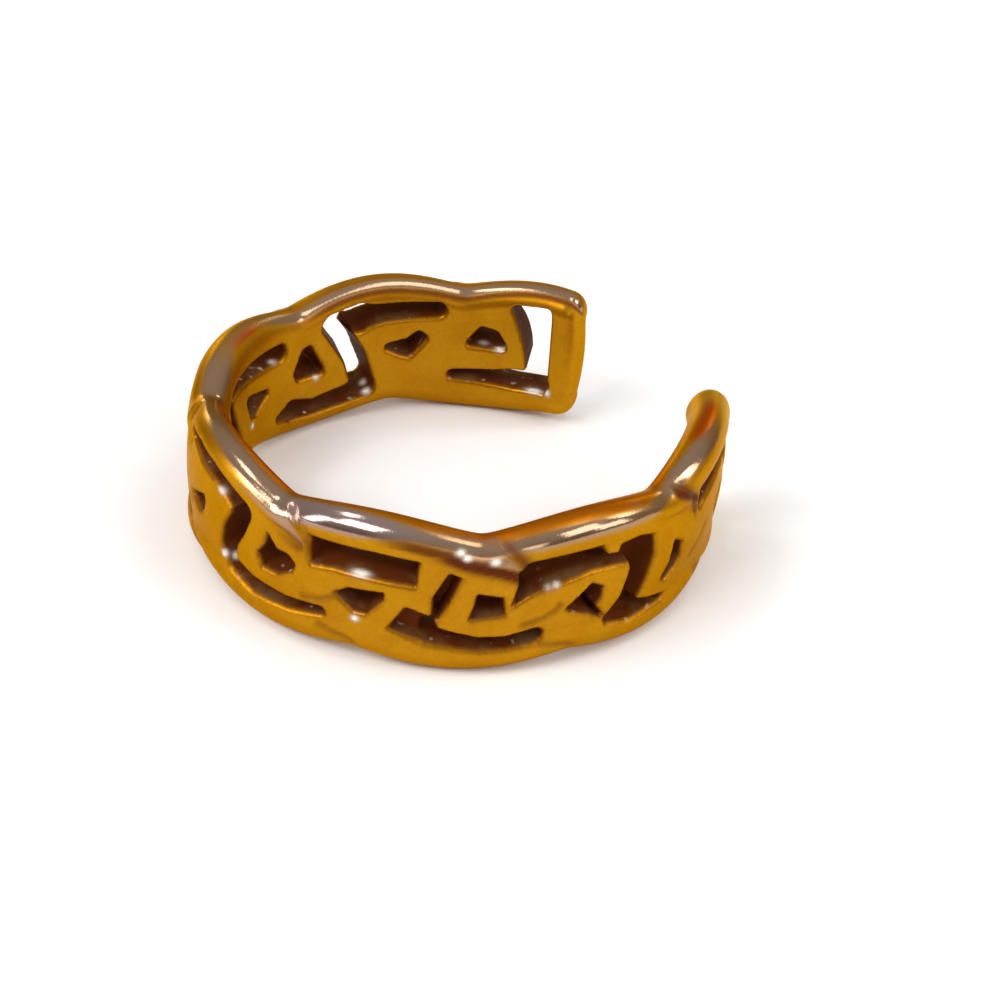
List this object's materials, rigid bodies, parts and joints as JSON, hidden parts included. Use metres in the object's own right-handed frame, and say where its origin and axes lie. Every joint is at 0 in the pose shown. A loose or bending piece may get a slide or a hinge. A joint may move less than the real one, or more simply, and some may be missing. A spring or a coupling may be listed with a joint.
{
  "type": "toe ring",
  "caption": "Open toe ring: a cast metal band pierced with a two-strand knot, with scalloped rims and a gap at the back that lets it be squeezed to size.",
  "frame": {"origin": "on the ring's axis, at the surface that the lower rim rests on", "axes": "+Z along the axis of the toe hollow, up from the resting rim; the gap opens towards +X and +Y"},
  "size_m": [0.0172, 0.017, 0.0051],
  "materials": {
    "knot_band": "polished, with darkened recesses"
  },
  "bodies": {
    "root": {"knot_band": "knot_band"}
  },
  "joints": []
}
